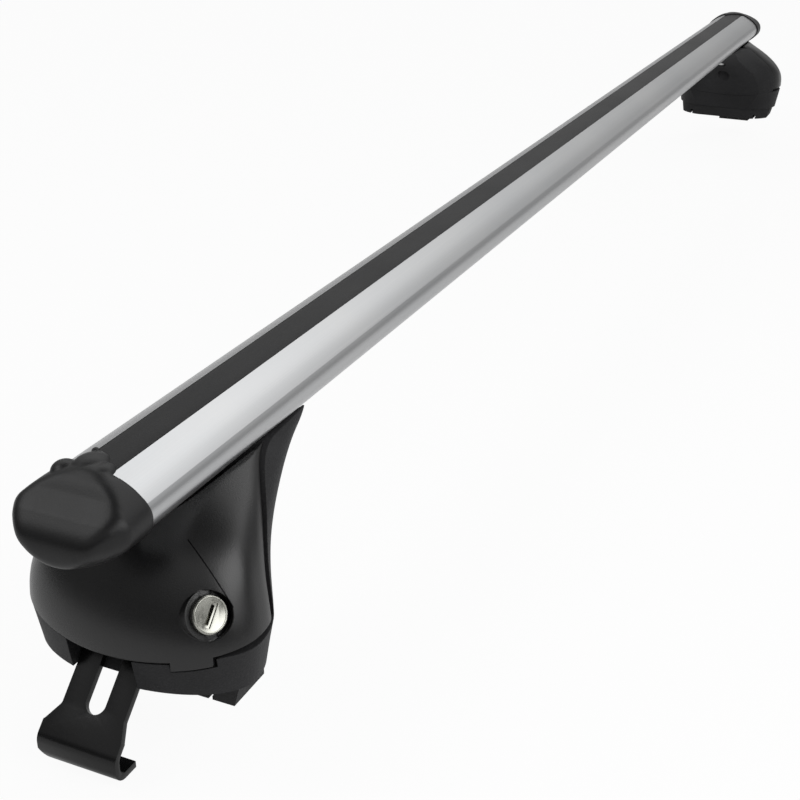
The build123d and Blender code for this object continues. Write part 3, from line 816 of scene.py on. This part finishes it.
def foot_place(side):
    """From a foot's own sizes in mm to its place at one end of the bar, in metres."""
    end, turn = (-bar_half_length, 0) if side == "near" else (bar_half_length + far_foot_shift, math.pi)
    metres = [size / 1000 for size in (end, 0, -2 * bar_half_height)]
    return Matrix.Translation(metres) @ Matrix.Rotation(turn, 4, "Z") @ Matrix.Scale(0.001, 4)


for side in ("near", "far"):
    cover = shell(f"{side}_cover")
    tab = prism("tab_room", [(-40, -40), (30, -40), (30, -80), (-40, -80)], "Y", tab_from, tab_to)
    combine(tab, below_parting("below_tab", tab_drop), "DIFFERENCE")
    lower = below_parting("below_cover", -slit)
    combine(lower, tab, "DIFFERENCE")
    combine(cover, lower, "DIFFERENCE")
    combine(cover, lock_rod("lock_boss", radius=10.6, start=-12, end=-2.3), "UNION")
    combine(cover, lock_rod("lock_bore", radius=8.26, start=-30, end=30), "DIFFERENCE")
    combine(cover, lock_rod("lock_dish", radius=10.8, start=-1.8, end=30, shift=1.5), "DIFFERENCE")
    combine(cover, bar_room("bar_room"), "DIFFERENCE")
    apart, run, in_band = [], [], []
    for point in cover.data.vertices:
        apart.append((point.co - seam_start).dot(seam_normal))
        run.append((point.co - seam_start).dot(seam_way))
        in_band.append(min(max(1 - (rear_edge(point.co.z) - point.co.x) / band_width, 0), 1))
    for name, values in (("seam_apart", apart), ("seam_run", run), ("rear_band", in_band)):
        cover.data.attributes.new(name, "FLOAT", "POINT").data.foreach_set("value", values)
    cover.matrix_world = foot_place(side)
    take_up(cover)
    bpy.ops.object.transform_apply(location=True, rotation=True, scale=True)
    bpy.ops.object.shade_smooth_by_angle(angle=math.radians(35))
    fit(cover, f"{side}_foot_cover", f"{side}_cover", cover_plastic)

# Locks: nickel-plated key barrels that stand a little out of a dish in the cover, turned,
# with a raised rim and a slanting key slot, and a steel cam and screw behind.
nickel = plated(
    "satin_nickel",
    dark=(0.30, 0.30, 0.27),
    light=(0.44, 0.44, 0.40),
    rough=(0.18, 0.36),
    scale=700.0,
    detail=4.0,
)
slot_turn = math.radians(41)
slot_way = lock_side * math.sin(slot_turn) + lock_axis.cross(lock_side) * math.cos(slot_turn)
slot_frame = Matrix((slot_way.cross(lock_axis), slot_way, lock_axis)).transposed().to_4x4()
# The shallow bed round the key slot and the slot itself, in mm: width, length, depth.
slot_cuts = ((3.4, 11.0, 0.9), (1.6, 8.8, 5.0))
face_height = 0.4
# The barrel is cut off inside the cover and given a new end with a rim, in metres.
cut_depth = 0.008
new_length = 0.0083
rim_chamfer = 0.0005
rim_taper = 0.94
rim_width = 0.0007
rim_height = 0.0004
for side in ("near", "far"):
    place = foot_place(side)
    out = (place.to_3x3() @ lock_axis).normalized()
    cut = place @ lock_centre - out * cut_depth
    barrel = welded_copy(f"{side}_lock_plug", f"{side}_key_barrel")
    with edit_all(barrel):
        bpy.ops.mesh.bisect(plane_co=cut, plane_no=out, use_fill=True, clear_outer=True)
        bpy.ops.mesh.extrude_region_move(TRANSFORM_OT_translate={"value": out * new_length})
        bpy.ops.mesh.extrude_region_move(TRANSFORM_OT_translate={"value": out * rim_chamfer})
        bpy.ops.transform.resize(value=(rim_taper, rim_taper, rim_taper))
        bpy.ops.mesh.inset(thickness=rim_width)
        bpy.ops.mesh.extrude_region_move(TRANSFORM_OT_translate={"value": out * -rim_height})
    face_place = place @ Matrix.Translation(lock_centre + lock_axis * face_height) @ slot_frame
    for width, length, depth in slot_cuts:
        bpy.ops.mesh.primitive_cube_add(size=1)
        tool = bpy.context.object
        tool.matrix_world = face_place @ Matrix.Diagonal((width, length, 2 * depth, 1))
        bpy.ops.object.transform_apply(location=True, rotation=True, scale=True)
        combine(barrel, tool, "DIFFERENCE")
    round_edges(barrel, width=0.00015, segments=2, sharp=40, smooth=35)
    fit(barrel, f"{side}_lock_plug", f"{side}_lock", nickel)
    dress(zinc, f"{side}_lock_cam", f"{side}_lock_screw")
